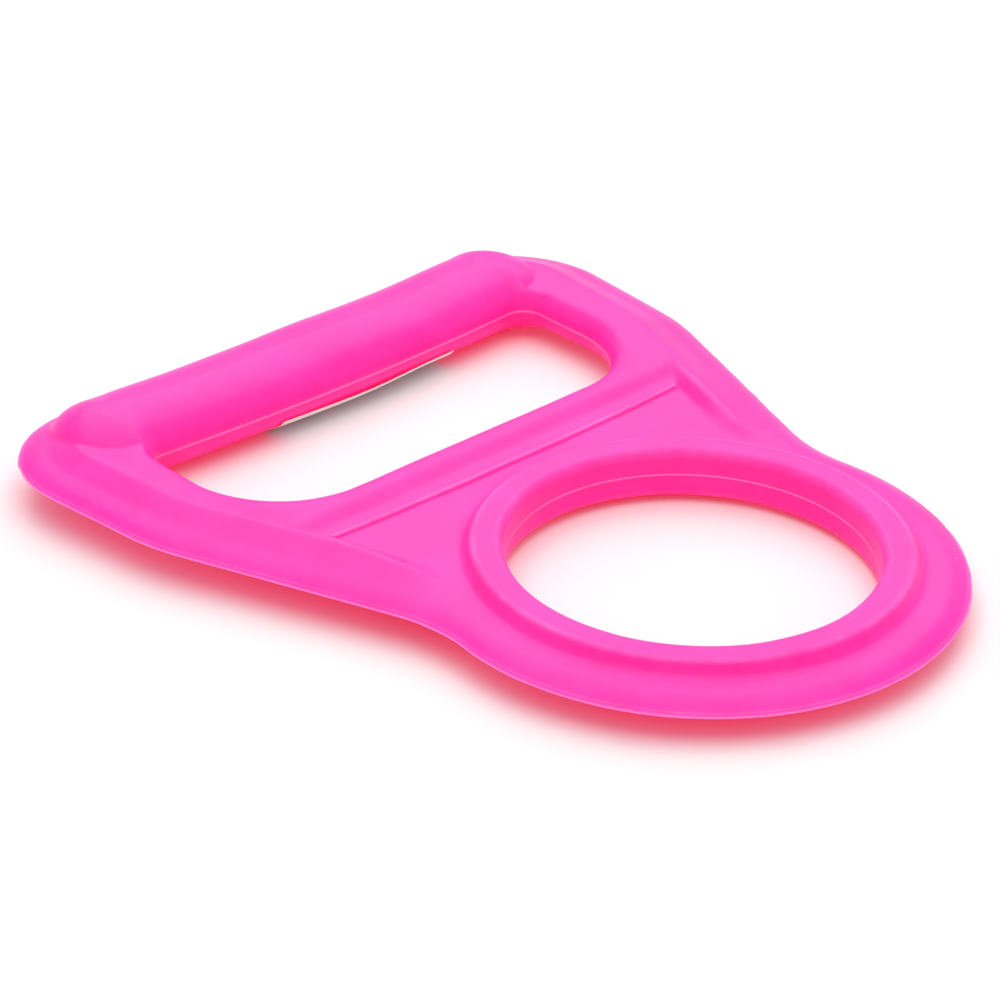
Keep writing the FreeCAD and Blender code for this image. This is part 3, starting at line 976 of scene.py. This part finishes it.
# %% Speck and hairline groups
specks, into, out_of = new_group(
    "specks", {"Position": None, "Scale": 240.0, "Size": 0.045, "Amount": 0.12}, ["Mask"])
cells = put(specks, "ShaderNodeTexVoronoi", {"feature": "F1"}, Vector=into.outputs["Position"],
            Scale=into.outputs["Scale"])
lottery = put(specks, "ShaderNodeSeparateColor", Color=cells.outputs["Color"])
kept = maths(specks, "LESS_THAN", lottery.outputs[0], into.outputs["Amount"])
size = maths(specks, "MULTIPLY", into.outputs["Size"],
             maths(specks, "ADD", lottery.outputs[1], 0.4))
dot = maths(specks, "LESS_THAN", cells.outputs["Distance"], size)
specks.links.new(maths(specks, "MULTIPLY", kept, dot), out_of.inputs["Mask"])

HAIR_SCALES = (45.0, 2600.0, 400.0)
hairlines, into, out_of = new_group("hairlines", {"Position": None, "Turn": 0.0}, ["Mask"])
turned = put(hairlines, "ShaderNodeVectorRotate", {"rotation_type": "Z_AXIS"},
             Vector=into.outputs["Position"], Angle=into.outputs["Turn"])
drawn = put(hairlines, "ShaderNodeVectorMath", {"operation": "MULTIPLY"})
hairlines.links.new(turned.outputs[0], drawn.inputs[0])
drawn.inputs[1].default_value = HAIR_SCALES
lines = put(hairlines, "ShaderNodeTexNoise", Vector=drawn.outputs[0], Scale=1.0, Detail=1.0)
patchy = put(hairlines, "ShaderNodeTexNoise", Vector=into.outputs["Position"], Scale=70.0)
crest_mask = maths(hairlines, "MULTIPLY", between(hairlines, lines.outputs["Fac"], 0.70, 0.76),
                   between(hairlines, patchy.outputs["Fac"], 0.50, 0.62))
hairlines.links.new(crest_mask, out_of.inputs["Mask"])
print("groups:", specks.name, hairlines.name)

# %% [markdown]
# ## Pink plastic
# The plastic's red glow is painted: a fixed red emission keeps it red even in its own shade and
# throws red light onto the table, though it is no lamp, standing in for its fluorescent pigment
# and for light passing through it.  Light also wanders a little way inside before it comes out
# again, so subsurface scattering softens the shading.  The shine is weak and even, because the
# mould is only finely ground, not polished.  The colour starts as a drift between a deep and a
# pale pink, and every mark on it is the same paler pink: rubbed edges, scratches and dust, and
# on the thin flash a painted glow, as if light passed through it.

# %% Moulding material
# the third pink serves both the wear marks (rubbed edges, scratches, dust) and the painted glow on
# the thin flash
DEEP, PALE, WEAR_AND_PAINTED_GLOW_PINK = (1.0, 0.018, 0.32, 1), (1.0, 0.036, 0.40, 1), (1.0, 0.22, 0.58, 1)
# painted glow: a constant red emission standing in for fluorescence and light passing through the
# plastic
PAINTED_GLOW_COLOUR, PAINTED_GLOW_STRENGTH = (1.0, 0.0, 0.06, 1.0), 0.46
SCATTER_RADIUS, SCATTER_SCALE = (1.0, 0.25, 0.6), 0.002
RELIEF_DEPTH = 0.00002


def new_material(name):
    """A material's node tree, its Principled BSDF and the material itself."""
    m = bpy.data.materials.new(name)
    m.use_nodes = True
    return m.node_tree, m.node_tree.nodes["Principled BSDF"], m


def use(tree, group, position, **values):
    """Put a node group into a material, fed with a position."""
    node = tree.nodes.new("ShaderNodeGroup")
    node.node_tree = group
    tree.links.new(position, node.inputs["Position"])
    for key, value in values.items():
        node.inputs[key].default_value = value
    return node.outputs[0]


def blend(tree, factor, a, b):
    """Mix of two colours, each a socket or a fixed colour."""
    node = put(tree, "ShaderNodeMix", {"data_type": "RGBA"})
    tree.links.new(factor, node.inputs[0])
    for socket, value in ((node.inputs[6], a), (node.inputs[7], b)):
        if isinstance(value, bpy.types.NodeSocket):
            tree.links.new(value, socket)
        else:
            socket.default_value = value
    return node.outputs[2]


def bumped(tree, height, distance, strength):
    """Normal of a surface raised by the height times the distance, in metres."""
    node = put(tree, "ShaderNodeBump", Height=height, Distance=distance, Strength=strength)
    return node.outputs["Normal"]


tree, shader, plastic = new_material("pink_plastic")
place = tree.nodes.new("ShaderNodeTexCoord").outputs["Object"]
flash_painted_glow_mask = put(tree, "ShaderNodeAttribute", {"attribute_name": "thin"}).outputs["Fac"]
rub_mask = put(tree, "ShaderNodeAttribute", {"attribute_name": "rub"}).outputs["Fac"]
drift = use(tree, mottle, place, Scale=85.0)
dust = use(tree, specks, place, Scale=170.0, Size=0.03, Amount=0.10)
across = use(tree, hairlines, place, Turn=0.5)
along_it = use(tree, hairlines, place, Turn=-1.1)
scratches = maths(tree, "MAXIMUM", across, along_it)
rubbed = maths(tree, "MULTIPLY", rub_mask, maths(tree, "ADD", drift, 0.3))

colour = blend(tree, maths(tree, "MULTIPLY", drift, 0.8), DEEP, PALE)
colour = blend(tree, maths(tree, "MULTIPLY", rubbed, 0.42), colour, WEAR_AND_PAINTED_GLOW_PINK)
colour = blend(tree, maths(tree, "MULTIPLY", scratches, 0.10), colour, WEAR_AND_PAINTED_GLOW_PINK)
colour = blend(tree, maths(tree, "MULTIPLY", dust, 0.6), colour, WEAR_AND_PAINTED_GLOW_PINK)
# painted glow: the thin flash is painted in the pale pink, as if light passed through it
colour = blend(tree, flash_painted_glow_mask, colour, WEAR_AND_PAINTED_GLOW_PINK)
tree.links.new(colour, shader.inputs["Base Color"])

gloss = maths(tree, "ADD", maths(tree, "MULTIPLY", drift, 0.06), 0.36)
gloss = maths(tree, "ADD", gloss, maths(tree, "MULTIPLY", scratches, 0.18))
gloss = maths(tree, "ADD", gloss, maths(tree, "MULTIPLY", rubbed, 0.12))
tree.links.new(gloss, shader.inputs["Roughness"])

relief = maths(tree, "ADD", use(tree, grain, place, Scale=3200.0),
               maths(tree, "MULTIPLY", dust, 1.5))
relief = maths(tree, "SUBTRACT", relief, maths(tree, "MULTIPLY", scratches, 0.6))
tree.links.new(bumped(tree, relief, RELIEF_DEPTH, 0.6), shader.inputs["Normal"])

shader.inputs["Specular IOR Level"].default_value = 0.16
shader.inputs["Coat Weight"].default_value = 0.1
shader.inputs["Coat Roughness"].default_value = 0.14
shader.inputs["Subsurface Weight"].default_value = 0.35
shader.inputs["Subsurface Radius"].default_value = SCATTER_RADIUS
shader.inputs["Subsurface Scale"].default_value = SCATTER_SCALE
# painted glow: the plastic emits red light of its own and lights the table, though it is no lamp
shader.inputs["Emission Color"].default_value = PAINTED_GLOW_COLOUR
shader.inputs["Emission Strength"].default_value = PAINTED_GLOW_STRENGTH
moulding.data.materials.append(plastic)
print("plastic uses", len(tree.nodes), "nodes")

# %% [markdown]
# ## Coated paper
# White paper with a thin coating: nearly matt, very slightly yellow, with the fibres just
# showing through as a fine relief, and a few grey specks from handling.

# %% Sticker material
CREAM, OFF_WHITE = (0.90, 0.88, 0.84, 1), (0.96, 0.95, 0.93, 1)
DIRT_GREY = (0.35, 0.32, 0.30, 1)
tree, shader, paper = new_material("coated_paper")
place = tree.nodes.new("ShaderNodeTexCoord").outputs["Object"]
clouds = use(tree, mottle, place, Scale=260.0)
dirt = use(tree, specks, place, Scale=500.0, Size=0.06, Amount=0.08)
colour = blend(tree, clouds, CREAM, OFF_WHITE)
colour = blend(tree, maths(tree, "MULTIPLY", dirt, 0.5), colour, DIRT_GREY)
tree.links.new(colour, shader.inputs["Base Color"])
tree.links.new(maths(tree, "ADD", maths(tree, "MULTIPLY", clouds, 0.12), 0.55),
               shader.inputs["Roughness"])
tree.links.new(bumped(tree, use(tree, grain, place, Scale=9000.0), RELIEF_DEPTH, 0.8),
               shader.inputs["Normal"])
label.data.materials.append(paper)
print("paper uses", len(tree.nodes), "nodes")

# %% [markdown]
# ## The table
# A plain white sheet, so matt that it shows no reflection, with only the faintest unevenness.

# %% Table material
tree, shader, sheet = new_material("white_sheet")
place = tree.nodes.new("ShaderNodeTexCoord").outputs["Object"]
cloudy = use(tree, mottle, place, Scale=14.0)
tree.links.new(blend(tree, cloudy, (0.73, 0.73, 0.73, 1), (0.75, 0.75, 0.75, 1)),
               shader.inputs["Base Color"])
shader.inputs["Roughness"].default_value = 0.9
shader.inputs["Specular IOR Level"].default_value = 0.1
floor_mesh.materials.append(sheet)
print("sheet uses", len(tree.nodes), "nodes")
